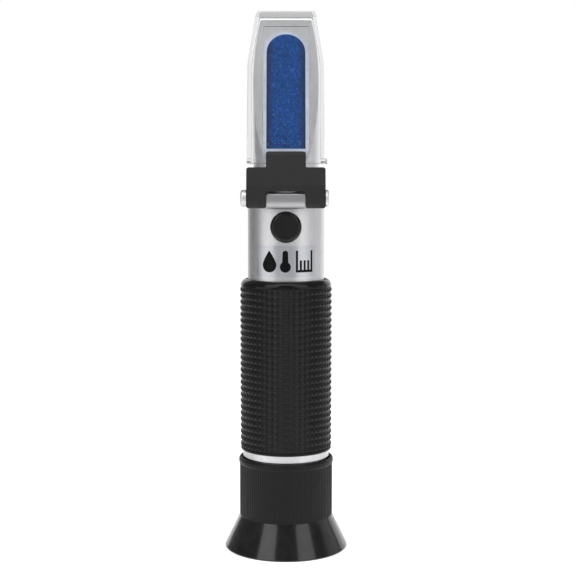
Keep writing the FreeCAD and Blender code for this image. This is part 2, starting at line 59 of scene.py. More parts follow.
MM = 0.001
TURN = 2 * math.pi
TURNED_SEGMENTS = 192
ARC_STEPS = 8
HARD_EDGE = 35          # degrees past which a turned piece's edge stays hard
WELD = 0.004 * MM       # corners of a CAD node closer than this are one corner
FLAT_WITHIN = 0.8       # degrees within which a CAD node's faces join into one
ROUND_PAST = 40         # degrees past which a CAD node's edge is rounded
CREASE = 30             # degrees past which an edge stays hard once the rest is rounded
FLOOR_RADIUS = 0.45
LIGHT_AIM = 0.09        # height that every light faces
DROP_STEPS = 24
THERMOMETER_STEPS = 32
END_MARGIN = 0.01 * MM  # keeps the two ends of a printed sign's outline open a little

# Name, azimuth, elevation (degrees from the front), distance, width, height (metres), power (watts)
LIGHTS = (
    ("softbox_left", -41, 36, 1.0, 0.56, 0.8, 3.2),
    ("softbox_right", 43, 36, 1.0, 0.56, 0.8, 2.6),
    ("low_left", -58, -2, 1.0, 0.8, 0.5, 1.35),
    ("low_right", 53, -2, 1.0, 0.75, 0.5, 1.2),
    ("low_front", 0, -6, 1.2, 0.9, 0.4, 0.45),
    ("side_right", 100, 0, 1.0, 0.7, 0.6, 0.75),
    ("rim_left", -158, 2, 1.0, 0.6, 0.9, 1.4),
    ("rim_right", 148, 2, 1.0, 0.8, 0.9, 2.4),
    ("softbox_top", 0, 88, 0.9, 0.9, 0.9, 1.0),
    ("high_front", 0, 68, 1.1, 0.8, 0.45, 2.6),
)


# ---- Mesh helpers ----

def rounded_profile(corners):
    """Points of a closed (radius, height) outline, with each corner given as radius, height, rounding."""
    points = []
    for i, (r, z, rounding) in enumerate(corners):
        here = Vector((r, z))
        if rounding <= 0:
            points.append(here)
            continue
        before = (Vector(corners[i - 1][:2]) - here).normalized()
        after = (Vector(corners[(i + 1) % len(corners)][:2]) - here).normalized()
        half = before.angle(after) / 2
        reach = rounding / math.tan(half)
        centre = here + (before + after).normalized() * (rounding / math.sin(half))
        start = here + before * reach - centre
        end = here + after * reach - centre
        sweep = math.atan2(start.x * end.y - start.y * end.x, start.dot(end))
        for step in range(ARC_STEPS + 1):
            angle = sweep * step / ARC_STEPS
            cos_a, sin_a = math.cos(angle), math.sin(angle)
            turned = Vector((start.x * cos_a - start.y * sin_a, start.x * sin_a + start.y * cos_a))
            points.append(centre + turned)
    return points


def turned_mesh(name, corners, segments=TURNED_SEGMENTS):
    """Closed ring turned about the optical axis; its outline's corners are (radius, height, rounding)."""
    points = rounded_profile(corners)
    mesh = bpy.data.meshes.new(name)
    vertices = []
    faces = []
    count = len(points)
    for s in range(segments):
        angle = TURN * s / segments
        vertices += [(p.x * math.cos(angle), p.x * math.sin(angle), p.y) for p in points]
        following = (s + 1) % segments
        for i in range(count):
            j = (i + 1) % count
            faces.append((s * count + i, following * count + i, following * count + j, s * count + j))
    mesh.from_pydata(vertices, [], faces)
    shell = bmesh.new()
    shell.from_mesh(mesh)
    bmesh.ops.recalc_face_normals(shell, faces=shell.faces)
    shell.to_mesh(mesh)
    shell.free()
    shade_by_angle(mesh, HARD_EDGE)
    return mesh


def add_piece(name, mesh, material, body, replaced=()):
    """Link a finished mesh as a piece that rides on a body."""
    piece = bpy.data.objects.new(name, mesh)
    bpy.context.scene.collection.objects.link(piece)
    mesh.materials.clear()
    mesh.materials.append(material)
    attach(piece, body)
    if replaced:
        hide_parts(*replaced)
    return piece


def softened_copy(node, name, width, segments):
    """Mesh of a CAD node with flat faces joined, hard edges rounded and big faces shaded flat."""
    mesh = frame["nodes"][node].data.copy()
    mesh.name = name
    shell = bmesh.new()
    shell.from_mesh(mesh)
    bmesh.ops.remove_doubles(shell, verts=shell.verts, dist=WELD)
    bmesh.ops.dissolve_limit(
        shell, angle_limit=math.radians(FLAT_WITHIN), verts=shell.verts, edges=shell.edges, delimit={"NORMAL"}
    )
    shell.to_mesh(mesh)
    shell.free()
    if mesh.has_custom_normals:
        mesh.attributes.remove(mesh.attributes["custom_normal"])
    holder = bpy.data.objects.new(name, mesh)
    bpy.context.scene.collection.objects.link(holder)
    bevel = holder.modifiers.new("soft_edges", "BEVEL")
    bevel.width = width
    bevel.segments = segments
    bevel.limit_method = "ANGLE"
    bevel.angle_limit = math.radians(ROUND_PAST)
    bevel.use_clamp_overlap = True
    rounded = plain_result(holder)
    holder.modifiers.clear()
    holder.data = rounded
    shade_by_angle(rounded, CREASE)
    level = holder.modifiers.new("level_faces", "WEIGHTED_NORMAL")
    level.weight = 100
    level.keep_sharp = True
    result = plain_result(holder)
    bpy.data.objects.remove(holder)
    result.name = name
    return result


def plain_result(holder):
    """Mesh that an object's modifiers make."""
    return bpy.data.meshes.new_from_object(holder.evaluated_get(bpy.context.evaluated_depsgraph_get()))


def shade_by_angle(mesh, degrees):
    """Smooth shading, with edges sharper than an angle kept hard."""
    shell = bmesh.new()
    shell.from_mesh(mesh)
    for face in shell.faces:
        face.smooth = True
    for edge in shell.edges:
        edge.smooth = edge.calc_face_angle(0) < math.radians(degrees)
    shell.to_mesh(mesh)
    shell.free()


# ---- Geometry Nodes: studs or ribs set out in rows round the optical axis ----

def wrap_tree(name, shape):
    """Node tree that sets copies of a small shape round a cylinder and joins them to the piece."""
    tree = bpy.data.node_groups.new(name, "GeometryNodeTree")
    inputs = [
        ("Geometry", "NodeSocketGeometry"),
        ("Columns", "NodeSocketInt"),
        ("Rows", "NodeSocketInt"),
        ("Row Pitch", "NodeSocketFloat"),
        ("Start Height", "NodeSocketFloat"),
        ("Radius", "NodeSocketFloat"),
        ("Width", "NodeSocketFloat"),
        ("Length", "NodeSocketFloat"),
        ("Depth", "NodeSocketFloat"),
        ("Top Share", "NodeSocketFloat"),
        ("Material", "NodeSocketMaterial"),
    ]
    for label, kind in inputs:
        tree.interface.new_socket(label, in_out="INPUT", socket_type=kind)
    tree.interface.new_socket("Geometry", in_out="OUTPUT", socket_type="NodeSocketGeometry")
    add = tree.nodes.new
    link = tree.links.new
    given = add("NodeGroupInput")
    result = add("NodeGroupOutput")

    def value(operation, first, second=None):
        node = add("ShaderNodeMath")
        node.operation = operation
        for socket, source in zip(node.inputs, (first, second)):
            if isinstance(source, bpy.types.NodeSocket):
                link(source, socket)
            elif source is not None:
                socket.default_value = source
        return node.outputs[0]

    index = add("GeometryNodeInputIndex").outputs[0]
    column = value("MODULO", index, given.outputs["Columns"])
    row = value("FLOOR", value("DIVIDE", value("ADD", index, 0.5), given.outputs["Columns"]))
    angle = value("MULTIPLY", column, value("DIVIDE", TURN, given.outputs["Columns"]))
    place = add("ShaderNodeCombineXYZ")
    link(value("MULTIPLY", value("COSINE", angle), given.outputs["Radius"]), place.inputs[0])
    link(value("MULTIPLY", value("SINE", angle), given.outputs["Radius"]), place.inputs[1])
    rise = value("MULTIPLY", row, given.outputs["Row Pitch"])
    link(value("ADD", rise, given.outputs["Start Height"]), place.inputs[2])
    points = add("GeometryNodePoints")
    link(value("MULTIPLY", given.outputs["Columns"], given.outputs["Rows"]), points.inputs["Count"])
    link(place.outputs[0], points.inputs["Position"])
    turn = add("ShaderNodeCombineXYZ")
    link(angle, turn.inputs[2])
    copies = add("GeometryNodeInstanceOnPoints")
    link(points.outputs[0], copies.inputs["Points"])
    link(shape(tree, given, value), copies.inputs["Instance"])
    link(turn.outputs[0], copies.inputs["Rotation"])
    joined = add("GeometryNodeJoinGeometry")
    link(copies.outputs[0], joined.inputs[0])
    link(given.outputs["Geometry"], joined.inputs[0])
    real = add("GeometryNodeRealizeInstances")
    link(joined.outputs[0], real.inputs[0])
    paint = add("GeometryNodeSetMaterial")
    link(real.outputs[0], paint.inputs[0])
    link(given.outputs["Material"], paint.inputs["Material"])
    link(paint.outputs[0], result.inputs[0])
    return tree


def stud_shape(tree, given, value):
    """Square pyramid with a cut-off tip that points outwards along X."""
    add, link = tree.nodes.new, tree.links.new
    cone = add("GeometryNodeMeshCone")
    cone.inputs["Vertices"].default_value = 4
    base = math.sqrt(0.5)
    cone.inputs["Radius Bottom"].default_value = base
    link(value("MULTIPLY", given.outputs["Top Share"], base), cone.inputs["Radius Top"])
    cone.inputs["Depth"].default_value = 1.0
    square = add("GeometryNodeTransform")
    square.inputs["Rotation"].default_value = (0, 0, math.radians(45))
    link(cone.outputs[0], square.inputs["Geometry"])
    outwards = add("GeometryNodeTransform")
    outwards.inputs["Rotation"].default_value = (0, math.radians(90), 0)
    link(square.outputs[0], outwards.inputs["Geometry"])
    sized = add("GeometryNodeTransform")
    scale = add("ShaderNodeCombineXYZ")
    link(given.outputs["Depth"], scale.inputs[0])
    link(given.outputs["Width"], scale.inputs[1])
    link(given.outputs["Length"], scale.inputs[2])
    link(outwards.outputs[0], sized.inputs["Geometry"])
    link(scale.outputs[0], sized.inputs["Scale"])
    return sized.outputs[0]


def rib_shape(tree, given, value):
    """Upright half-sunk rod with rounded flanks."""
    add, link = tree.nodes.new, tree.links.new
    rod = add("GeometryNodeMeshCylinder")
    rod.inputs["Vertices"].default_value = 8
    rod.inputs["Radius"].default_value = 0.5
    rod.inputs["Depth"].default_value = 1.0
    lifted = add("GeometryNodeTransform")
    lifted.inputs["Translation"].default_value = (0, 0, 0.5)
    link(rod.outputs["Mesh"], lifted.inputs["Geometry"])
    sized = add("GeometryNodeTransform")
    scale = add("ShaderNodeCombineXYZ")
    link(given.outputs["Depth"], scale.inputs[0])
    link(given.outputs["Width"], scale.inputs[1])
    link(given.outputs["Length"], scale.inputs[2])
    link(lifted.outputs[0], sized.inputs["Geometry"])
    link(scale.outputs[0], sized.inputs["Scale"])
    return sized.outputs[0]


def grow(mesh, tree, values):
    """Run a node tree on a mesh once and return the plain mesh that it makes."""
    holder = bpy.data.objects.new(mesh.name, mesh)
    bpy.context.scene.collection.objects.link(holder)
    modifier = holder.modifiers.new("grow", "NODES")
    modifier.node_group = tree
    for item in tree.interface.items_tree:
        if item.item_type == "SOCKET" and item.in_out == "INPUT" and item.name in values:
            modifier[item.identifier] = values[item.name]
    result = plain_result(holder)
    holder.modifiers.clear()
    bpy.data.objects.remove(holder)
    return result


# ---- Material helpers ----

class Finish:
    """A principled material with short calls for the patterns that the finishes share."""

    def __init__(self, name, colour, roughness, metallic=0.0):
        self.material = bpy.data.materials.new(name)
        self.material.use_nodes = True
        self.tree = self.material.node_tree
        self.shader = self.tree.nodes["Principled BSDF"]
        self.colour = colour
        self.set("Base Color", (*colour, 1.0))
        self.set("Roughness", roughness)
        self.set("Metallic", metallic)
        self.place = self.tree.nodes.new("ShaderNodeTexCoord").outputs["Object"]

    def set(self, socket, value):
        self.shader.inputs[socket].default_value = value

    def link(self, source, socket):
        self.tree.links.new(source, socket)

    def scaled(self, scale):
        node = self.tree.nodes.new("ShaderNodeMapping")
        node.inputs["Scale"].default_value = scale
        self.link(self.place, node.inputs["Vector"])
        return node.outputs[0]

    def noise(self, scale, detail, stretch=(1, 1, 1), roughness=0.55):
        node = self.tree.nodes.new("ShaderNodeTexNoise")
        node.inputs["Scale"].default_value = scale
        node.inputs["Detail"].default_value = detail
        node.inputs["Roughness"].default_value = roughness
        self.link(self.scaled(stretch), node.inputs["Vector"])
        return node.outputs[0]

    def spread(self, source, low, high, from_low=0.3, from_high=0.7):
        node = self.tree.nodes.new("ShaderNodeMapRange")
        node.inputs["From Min"].default_value = from_low
        node.inputs["From Max"].default_value = from_high
        node.inputs["To Min"].default_value = low
        node.inputs["To Max"].default_value = high
        self.link(source, node.inputs["Value"])
        return node.outputs[0]

    def math(self, operation, first, second):
        node = self.tree.nodes.new("ShaderNodeMath")
        node.operation = operation
        for socket, source in zip(node.inputs, (first, second)):
            if isinstance(source, bpy.types.NodeSocket):
                self.link(source, socket)
            else:
                socket.default_value = source
        return node.outputs[0]

    def axis(self, index):
        node = self.tree.nodes.new("ShaderNodeSeparateXYZ")
        self.link(self.place, node.inputs[0])
        return node.outputs[index]

    def mix(self, share, first, second):
        node = self.tree.nodes.new("ShaderNodeMix")
        node.data_type = "RGBA"
        for socket, source in ((node.inputs[0], share), (node.inputs[6], first), (node.inputs[7], second)):
            if isinstance(source, bpy.types.NodeSocket):
                self.link(source, socket)
            elif isinstance(source, tuple):
                socket.default_value = (*source[:3], 1.0)
            else:
                socket.default_value = source
        return node.outputs[2]

    def vary_colour(self, source, other):
        self.link(self.mix(source, self.colour, other), self.shader.inputs["Base Color"])

    def vary_roughness(self, source, low, high):
        self.link(self.spread(source, low, high), self.shader.inputs["Roughness"])

    def bump(self, source, depth):
        node = self.tree.nodes.new("ShaderNodeBump")
        node.inputs["Strength"].default_value = 1.0
        node.inputs["Distance"].default_value = depth
        self.link(source, node.inputs["Height"])
        self.link(node.outputs[0], self.shader.inputs["Normal"])


def moulded(name, colour, lighter, roughness, grain, depth, coat=0.0, shine=0.2):
    """Moulded rubber or plastic: fine grain, faint colour drift, uneven gloss and perhaps a clear coat."""
    finish = Finish(name, colour, roughness)
    finish.set("Specular IOR Level", shine)
    drift = finish.noise(260, 2)
    finish.vary_colour(finish.spread(drift, 0, 1), lighter)
    finish.vary_roughness(finish.noise(700, 3), roughness - 0.06, roughness + 0.06)
    finish.bump(finish.noise(grain, 4), depth)
    finish.set("Coat Weight", coat)
    finish.set("Coat Roughness", 0.12)
    return finish.material


def metal(name, colour, darker, roughness, stretch, depth):
    """Turned, rolled or blasted metal, with its grain drawn out along one direction."""
    finish = Finish(name, colour, roughness, 1.0)
    grain = finish.noise(1500, 3, stretch)
    finish.vary_colour(finish.spread(grain, 0, 1), darker)
    finish.vary_roughness(finish.noise(320, 2, stretch), roughness - 0.05, roughness + 0.06)
    finish.bump(grain, depth)
    return finish.material


def clear(name, tint, roughness, index):
    """Clear plastic or glass, with faint uneven polish."""
    finish = Finish(name, tint, roughness)
    finish.set("Transmission Weight", 1.0)
    finish.set("IOR", index)
    finish.vary_roughness(finish.noise(140, 2), roughness, roughness + 0.03)
    return finish.material


def blue_prism_finish(colours):
    """Blue coated glass, mottled and speckled with fine lighter specks, darker along its edges."""
    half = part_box("main_prism")[1].x
    finish = Finish("blue_prism", tuple(colours.prism), 0.22)
    mottle = finish.spread(finish.noise(1250, 5, (1, 1, 0.8), 0.7), 0, 1, 0.38, 0.62)
    clouds = finish.spread(finish.noise(220, 2, (1, 1, 0.5)), 0, 1, 0.35, 0.65)
    blend = finish.math("ADD", finish.math("MULTIPLY", mottle, 0.82), finish.math("MULTIPLY", clouds, 0.18))
    dim = tuple(c * 0.6 for c in colours.prism)
    lit = tuple(c * 1.42 for c in colours.prism)
    mottled = finish.mix(blend, dim, lit)
    # fine lighter blue specks spread at random over the prism
    specks = finish.spread(finish.noise(1900, 2, (1, 1, 1), 0.4), 0, 0.6, 0.63, 0.71)
    speck_blue = (0.05, 0.24, 0.58)
    blue = finish.mix(specks, mottled, speck_blue)
    across = finish.math("ABSOLUTE", finish.axis(0), 0.0)
    edge = finish.spread(across, 0, 1, half * 0.62, half * 0.98)
    finish.link(finish.mix(edge, blue, tuple(colours.prism_edge)), finish.shader.inputs["Base Color"])
    finish.bump(finish.noise(1800, 2), 0.00001)
    finish.set("Specular IOR Level", 0.1)
    return finish.material


def satin_finish(name, colour, darker):
    """Blasted and plated casting: even fine grain, and painted shade that darkens the parts standing proud
    above the grip, where the hinge lug sits in the bracket's notch.
    """
    finish = Finish(name, colour, 0.4, 1.0)
    grain = finish.noise(5200, 3)
    marks = finish.spread(finish.noise(600, 2, (1, 1, 0.3)), 0, 0.35)
    turned = finish.mix(marks, colour, darker)
    body_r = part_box("prism_head")[1].x
    across = finish.math("POWER", finish.axis(0), 2.0)
    deep = finish.math("POWER", finish.axis(1), 2.0)
    reach = finish.math("SQRT", finish.math("ADD", across, deep), 0.0)
    # painted shade: metal standing proud of the body above the grip (the hinge lug in the bracket's notch) is
    # darkened to stand in for the shade there
    proud_shade = finish.spread(reach, 0, 1, body_r + 0.2 * MM, body_r + 0.6 * MM)
    above_grip = finish.math("GREATER_THAN", finish.axis(2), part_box("grip_sleeve")[1].z)
    proud_shade = finish.math("MULTIPLY", proud_shade, above_grip)
    # darker colour of the painted shade on the proud metal
    notch_shade_colour = tuple(c * 0.62 for c in colour)
    finish.link(finish.mix(proud_shade, turned, notch_shade_colour), finish.shader.inputs["Base Color"])
    finish.vary_roughness(finish.noise(900, 3), 0.36, 0.46)
    finish.bump(grain, 0.000012)
    return finish.material


def grip_finish(colours, shoulder_low):
    """Grip rubber: matt over the studs, glossy on the smooth shoulder."""
    finish = Finish("grip_rubber", tuple(colours.grip), 0.36)
    finish.set("Specular IOR Level", 0.2)
    finish.vary_colour(finish.spread(finish.noise(260, 2), 0, 1), tuple(c * 1.4 for c in colours.grip))
    uneven = finish.spread(finish.noise(700, 3), -0.04, 0.04)
    gloss = finish.spread(finish.axis(2), 0.36, 0.15, shoulder_low - 0.1 * MM, shoulder_low + 0.3 * MM)
    finish.link(finish.math("ADD", gloss, uneven), finish.shader.inputs["Roughness"])
    finish.bump(finish.noise(3200, 4), 0.000006)
    return finish.material


def reticle_finish():
    """Ground glass disc with a printed ladder of short lines."""
    finish = Finish("reticle_glass", (0.86, 0.9, 0.93), 0.1)
    finish.set("Transmission Weight", 0.7)
    finish.set("IOR", 1.5)
    step = 0.45 * MM
    line_width = 0.12 * MM
    half_width = 1.4 * MM
    half_height = 5.5 * MM
    lift = 20 * step    # keeps the remainder's input above zero over the whole scale
    ladder = finish.math("MODULO", finish.math("ADD", finish.axis(1), lift), step)
    line = finish.math("LESS_THAN", ladder, line_width)
    across = finish.math("LESS_THAN", finish.math("ABSOLUTE", finish.axis(0), 0.0), half_width)
    within = finish.math("LESS_THAN", finish.math("ABSOLUTE", finish.axis(1), 0.0), half_height)
    marked = finish.math("MULTIPLY", finish.math("MULTIPLY", line, across), within)
    finish.vary_colour(marked, (0.02, 0.05, 0.2))
    return finish.material


# ---- Settings ----

def colour_property(name, description, default):
    return FloatVectorProperty(
        name=name, description=description, default=default, size=3, subtype="COLOR", min=0.0, max=1.0
    )


def length_property(name, description, default):
    return FloatProperty(
        name=name, description=description, default=default, unit="LENGTH", subtype="DISTANCE", precision=5
    )


class RefractometerColours(bpy.types.PropertyGroup):
    """Colours of the visible finishes."""

    grip: colour_property("Grip", "Rubber of the grip sleeve", (0.006, 0.006, 0.0062))
    ring: colour_property("Focus ring", "Plastic of the focus ring", (0.0055, 0.0055, 0.0058))
    cup: colour_property("Eyecup", "Glossy rubber of the eyecup", (0.0045, 0.0045, 0.0052))
    bracket: colour_property("Bracket", "Plastic of the hinge bracket", (0.022, 0.022, 0.0225))
    metal: colour_property("Metal", "Plated casting", (0.68, 0.68, 0.69))
    prism: colour_property("Prism", "Coated glass of the prism", (0.002, 0.058, 0.25))
    prism_edge: colour_property("Prism edge", "Darker edge of the prism", (0.012, 0.03, 0.085))
    seal: colour_property("Seal", "Potting round the prism", (0.52, 0.58, 0.68))


class GripSettings(bpy.types.PropertyGroup):
    """Sizes of the studded grip sleeve."""

    columns: IntProperty(name="Columns", description="Studs round the sleeve", default=52, min=3)
    rows: IntProperty(name="Rows", description="Studs along the sleeve", default=26, min=1)
    stud_depth: length_property("Stud depth", "Height of a stud above the sleeve", 0.43 * MM)
    top_share: FloatProperty(
        name="Top share", description="Width of a stud's tip over its base", default=0.18, min=0.0, max=1.0
    )
    shoulder: length_property("Shoulder", "Smooth length above the studs", 2.45 * MM)
    lip: length_property("Lip", "Smooth length below the studs", 0.7 * MM)


class FocusSettings(bpy.types.PropertyGroup):
    """Sizes of the ribbed focus ring."""

    ribs: IntProperty(name="Ribs", description="Ribs round the ring", default=108, min=3)
    rib_depth: length_property("Rib depth", "Height of a rib above the ring", 0.11 * MM)
    rib_width: length_property("Rib width", "Width of a rib", 0.5 * MM)
    bead: length_property("Bead", "Length of the smooth bead at the top", 2.4 * MM)


class EdgeSettings(bpy.types.PropertyGroup):
    """Edges of the clear cover plate, its bracket and the rubber plug."""

    plate_edge: length_property("Plate edge", "Rounding of the cover plate's edges", 0.16 * MM)
    bracket_edge: length_property("Bracket edge", "Rounding of the bracket's edges", 0.22 * MM)
    plug_edge: length_property("Plug edge", "Rounding of the rubber plug's rim", 0.42 * MM)


class LabelSettings(bpy.types.PropertyGroup):
    """Sizes of the foil label's printed signs."""

    ink: length_property("Ink", "Thickness of the printed signs", 0.03 * MM)
    sign_height: length_property("Sign height", "Height of the printed signs", 7.0 * MM)
    drop_radius: length_property("Drop radius", "Half the width of the printed drop", 2.45 * MM)
    tick: length_property("Tick", "Width of a tick of the printed scale", 0.72 * MM)
    tick_gap: length_property("Tick gap", "Gap between two ticks", 0.62 * MM)


class StageSettings(bpy.types.PropertyGroup):
    """Camera and lights."""

    distance: length_property("Distance", "Camera to the point that it looks at", 428.0 * MM)
    look_height: length_property("Look height", "Height of the point that the camera looks at", 86.3 * MM)
    look_side: length_property("Look side", "Sideways place of the camera", 0.66 * MM)
    pitch: FloatProperty(
        name="Pitch", description="Angle that the camera looks down", subtype="ANGLE",
        default=math.radians(5.4),
    )
    lens: FloatProperty(name="Lens", description="Focal length in millimetres", default=81.25, min=1.0)


# ---- Pieces ----

class PieceOperator(bpy.types.Operator):
    """Shared base of the operators that build a piece."""

    bl_options = {"REGISTER", "UNDO"}


class REFRACTO_OT_grip(PieceOperator):
    """Build the rubber grip sleeve with its rows of small pyramids"""

    bl_idname = "refracto.grip"
    bl_label = "Grip sleeve"

    def execute(self, context):
        settings = context.scene.refracto_grip
        colours = context.scene.refracto_colours
        low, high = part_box("grip_sleeve")
        tube_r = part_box("main_tube")[1].x
        flange_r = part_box("adapter_ring")[1].x
        flange_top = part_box("adapter_ring")[1].z
        outer = high.x
        lip_r = outer - 0.12 * MM
        shoulder_r = outer - 0.2 * MM
        shoulder_round = 2.1 * MM
        seat_r = flange_r + 0.1 * MM
        root = outer - settings.stud_depth
        top = high.z - settings.shoulder
        sunk = 0.03 * MM        # depth of a stud's foot in the sleeve
        width_share = 0.95      # the rest of a stud's room is the groove beside it
        length_share = 0.96
        profile = [
            (seat_r, low.z, 0.1 * MM),
            (lip_r, low.z, 0.2 * MM),
            (lip_r, low.z + settings.lip, 0.1 * MM),
            (root, low.z + settings.lip + 0.05 * MM, 0),
            (root, top, 0),
            (shoulder_r, top + 0.1 * MM, 0.12 * MM),
            (shoulder_r, high.z, shoulder_round),
            (tube_r, high.z, 0.03 * MM),
            (tube_r, flange_top, 0),
            (seat_r, flange_top, 0),
        ]
        sleeve = turned_mesh("grip_sleeve_studs", profile)
        material = grip_finish(colours, top)
        pitch = (top - low.z - settings.lip) / settings.rows
        mesh = grow(sleeve, wrap_tree("studs_round_sleeve", stud_shape), {
            "Columns": settings.columns,
            "Rows": settings.rows,
            "Row Pitch": pitch,
            "Start Height": low.z + settings.lip + pitch / 2,
            "Radius": root - sunk,
            "Width": TURN * root / settings.columns * width_share,
            "Length": pitch * length_share,
            "Depth": settings.stud_depth + sunk,
            "Top Share": settings.top_share,
            "Material": material,
        })
        add_piece("grip_sleeve_studs", mesh, material, "barrel", ["grip_sleeve"])
        return {"FINISHED"}


class REFRACTO_OT_focus_ring(PieceOperator):
    """Build the black focus ring with its fine upright ribs"""

    bl_idname = "refracto.focus_ring"
    bl_label = "Focus ring"

    def execute(self, context):
        settings = context.scene.refracto_focus
        colours = context.scene.refracto_colours
        low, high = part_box("focus_ring")
        cup_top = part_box("eyecup")[1].z
        bead_r = high.x
        rib_r = bead_r - 0.25 * MM
        root = rib_r - settings.rib_depth
        bore_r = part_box("adapter_ring")[1].x + 0.3 * MM
        bore_floor = high.z - 2.2 * MM
        collar_r = rib_r - 2.6 * MM
        foot = low.z + 0.45 * MM
        bead_low = high.z - settings.bead
        bead_slope = 0.7 * MM
        rib_low = low.z + 0.4 * MM
        rib_top = bead_low + 0.2 * MM
        profile = [
            (collar_r, low.z, 0),
            (rib_r, low.z, 0.12 * MM),
            (rib_r, foot, 0.1 * MM),
            (root, foot + 0.1 * MM, 0),
            (root, bead_low, 0),
            (bead_r, bead_low + bead_slope, 0.45 * MM),
            (bead_r, high.z, 0.8 * MM),
            (bore_r, high.z, 0.2 * MM),
            (bore_r, bore_floor, 0),
            (collar_r + 0.1 * MM, bore_floor, 0),
            (collar_r, cup_top, 0),
        ]
        ring = turned_mesh("focus_ring_ribbed", profile)
        material = moulded(
            "ring_plastic", tuple(colours.ring), (0.007, 0.007, 0.0073),
            roughness=0.46, grain=2600, depth=0.00001,
        )
        mesh = grow(ring, wrap_tree("ribs_round_ring", rib_shape), {
            "Columns": settings.ribs,
            "Rows": 1,
            "Row Pitch": 0.0,
            "Start Height": rib_low,
            "Radius": root,
            "Width": settings.rib_width,
            "Length": rib_top - rib_low,
            "Depth": settings.rib_depth * 2,    # half of it is sunk in the ring
            "Top Share": 1.0,
            "Material": material,
        })
        add_piece("focus_ring_ribbed", mesh, material, "focus", ["focus_ring"])
        return {"FINISHED"}


class REFRACTO_OT_flap(PieceOperator):
    """Build the clear cover plate and the black hinge bracket with softened edges"""

    bl_idname = "refracto.flap"
    bl_label = "Cover plate and bracket"

    def execute(self, context):
        settings = context.scene.refracto_edges
        colours = context.scene.refracto_colours
        acrylic = clear("clear_acrylic", (0.985, 0.99, 0.995), roughness=0.015, index=1.45)
        plate = softened_copy("cover_plate", "cover_plate_polished", settings.plate_edge, 2)
        add_piece("cover_plate_polished", plate, acrylic, "flap", ["cover_plate"])
        black = moulded(
            "bracket_plastic", tuple(colours.bracket), (0.025, 0.025, 0.0255),
            roughness=0.5, grain=3600, depth=0.000012,
        )
        bracket = softened_copy("hinge_bracket", "hinge_bracket_moulded", settings.bracket_edge, 3)
        add_piece("hinge_bracket_moulded", bracket, black, "flap", ["hinge_bracket"])
        return {"FINISHED"}


class REFRACTO_OT_plug(PieceOperator):
    """Build the rubber plug over the calibration screw with a rounded rim"""

    bl_idname = "refracto.plug"
    bl_label = "Rubber plug"

    def execute(self, context):
        settings = context.scene.refracto_edges
        rubber = moulded(
            "plug_rubber", (0.004, 0.004, 0.0042), (0.007, 0.007, 0.0072),
            roughness=0.28, grain=3000, depth=0.000004, coat=0.25,
        )
        plug = softened_copy("calibration_cap", "calibration_plug_rounded", settings.plug_edge, 5)
        add_piece("calibration_plug_rounded", plug, rubber, "plug", ["calibration_cap"])
        return {"FINISHED"}


def curved_patch(shell, columns, inner, outer):
    """Closed thin plate on a cylinder; each column is (distance round the cylinder, lowest, highest)."""
    rows = []
    for radius in (inner, outer):
        ring = []
        for around, low, high in columns:
            angle = around / inner
            x, y = radius * math.sin(angle), -radius * math.cos(angle)
            ring.append((shell.verts.new((x, y, low)), shell.verts.new((x, y, high))))
        rows.append(ring)
    back, front = rows
    for i in range(len(columns) - 1):
        j = i + 1
        shell.faces.new((front[i][0], front[j][0], front[j][1], front[i][1]))
        shell.faces.new((back[i][0], back[i][1], back[j][1], back[j][0]))
        shell.faces.new((front[i][1], front[j][1], back[j][1], back[i][1]))
        shell.faces.new((front[i][0], back[i][0], back[j][0], front[j][0]))
    for i, first in ((0, True), (len(columns) - 1, False)):
        loop = (front[i][0], front[i][1], back[i][1], back[i][0])
        shell.faces.new(loop if first else loop[::-1])


def drop_columns(centre, middle, half, height):
    """Outline of a drop of liquid, tip up: a half circle below, and sides that lean in to the tip."""
    lean = 0.75
    columns = []
    for step in range(DROP_STEPS + 1):
        t = -1 + step / (DROP_STEPS / 2)
        low = middle - half * math.sqrt(max(0.0, 1 - t * t))
        high = middle + (height - half) * max(0.0, 1 - abs(t)) ** lean
        columns.append((centre + t * half, low - END_MARGIN, high + END_MARGIN))
    return columns


def thermometer_columns(centre, bottom, height, bulb, stem):
    """Outline of a thermometer: round bulb and round-ended stem."""
    columns = []
    for step in range(THERMOMETER_STEPS + 1):
        t = -1 + step / (THERMOMETER_STEPS / 2)
        across = t * bulb
        drop = math.sqrt(max(0.0, bulb * bulb - across * across))
        high = bottom + bulb + drop
        if abs(across) <= stem:
            high = bottom + height - stem + math.sqrt(max(0.0, stem * stem - across * across))
        columns.append((centre + across, bottom + bulb - drop - END_MARGIN, high + END_MARGIN))
    return columns


